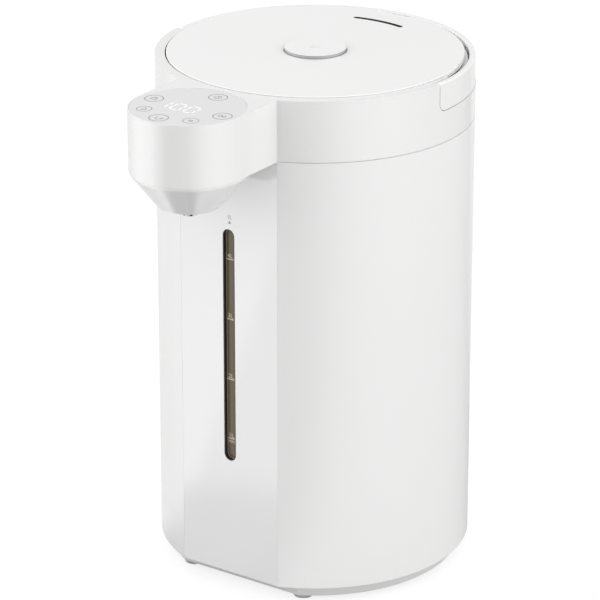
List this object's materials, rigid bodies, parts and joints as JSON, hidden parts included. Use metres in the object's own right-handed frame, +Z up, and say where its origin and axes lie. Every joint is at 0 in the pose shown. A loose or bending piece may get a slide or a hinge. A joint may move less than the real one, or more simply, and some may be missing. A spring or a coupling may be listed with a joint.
{
  "type": "hot water dispenser",
  "caption": "Electric hot water dispenser: round white body with a flat front and level gauge, spout head with touch panel, hinged lid with push button and a flush carry handle.",
  "frame": {"origin": "on the floor, under the middle of the whole outline; the body axis is 36 mm behind it", "axes": "+Z up, -Y towards the spout and the user, +X to the right seen from the front"},
  "size_m": [0.21, 0.282, 0.3534],
  "materials": {
    "white_shell": "satin moulded white",
    "white_gloss": "polished white",
    "touch_white": "smooth white, slightly grey",
    "base_white": "matt white",
    "gauge_tint": "brown tinted lens",
    "clear_tube": "clear",
    "bright_steel": "bright",
    "tank_steel": "brushed stainless",
    "screw_steel": "plated",
    "motor_steel": "plated can",
    "cast_aluminium": "cast",
    "contact_brass": "bright",
    "light_grey_plastic": "matt light grey",
    "black_plastic": "matt black",
    "circuit_board": "green lacquer",
    "grey_rubber": "soft",
    "silicone": "translucent silicone",
    "foot_rubber": "matt",
    "felt": "needled felt"
  },
  "bodies": {
    "housing": {"body_shell": "white_shell", "front_panel": "white_gloss", "gauge_window": "gauge_tint", "top_housing": "white_shell", "nozzle_cover": "white_shell", "spout_nozzle": "bright_steel", "touch_panel": "touch_white", "control_board": "circuit_board", "display_module": "black_plastic", "touch_pads": "grey_rubber", "board_screws": "screw_steel", "lid_hinge_bracket": "white_shell", "lid_hinge_pin": "screw_steel", "handle_pivots": "screw_steel", "inner_tank": "tank_steel", "tank_seal": "grey_rubber", "tank_screws": "screw_steel", "insulation_sleeve": "felt", "heater_plate": "cast_aluminium", "thermostat": "black_plastic", "temperature_sensor": "screw_steel", "pump_housing": "light_grey_plastic", "pump_motor": "motor_steel", "pump_inlet_hose": "silicone", "pump_outlet_hose": "silicone", "riser_tube": "clear_tube", "outlet_hose": "silicone", "hose_clips": "screw_steel", "power_board": "circuit_board", "board_parts": "black_plastic", "power_inlet": "black_plastic", "inlet_contacts": "contact_brass", "base_cover": "base_white", "rubber_feet": "foot_rubber", "base_screws": "screw_steel"},
    "lid": {"lid_cover": "white_shell", "lid_inner": "light_grey_plastic", "lid_gasket": "grey_rubber", "steam_duct": "light_grey_plastic", "lid_screws": "screw_steel", "button_spring": "screw_steel", "latch_spring": "screw_steel"},
    "button": {"lid_button": "white_shell"},
    "latch": {"latch_bolt": "light_grey_plastic"},
    "handle": {"carry_handle": "white_shell"},
    "impeller": {"pump_impeller": "light_grey_plastic"}
  },
  "joints": [
    {"name": "lid_hinge", "type": "hinge", "parent": "housing", "child": "lid", "pos_m": [0, 0.1314, 0.349], "axis": [-1, 0, 0], "range_deg": [0, 85]},
    {"name": "handle_swing", "type": "hinge", "parent": "housing", "child": "handle", "pos_m": [0, 0.0305, 0.3455], "axis": [1, 0, 0], "range_deg": [0, 90]},
    {"name": "button_press", "type": "slide", "parent": "lid", "child": "button", "axis": [0, 0, -1], "range_m": [0, 0.003], "stiffness_N_per_m": 500, "springref_m": -0.004, "deforming": ["button_spring"]},
    {"name": "latch_slide", "type": "slide", "parent": "lid", "child": "latch", "axis": [0, 1, 0], "range_m": [0, 0.003], "deforming": ["latch_spring"]},
    {"name": "impeller_spin", "type": "hinge", "parent": "housing", "child": "impeller", "pos_m": [-0.042, -0.00999, 0.039], "axis": [0, 0, 1], "continuous": true}
  ],
  "couplings": [
    {"joint": "latch_slide", "follows": "button_press", "ratio": 1}
  ]
}
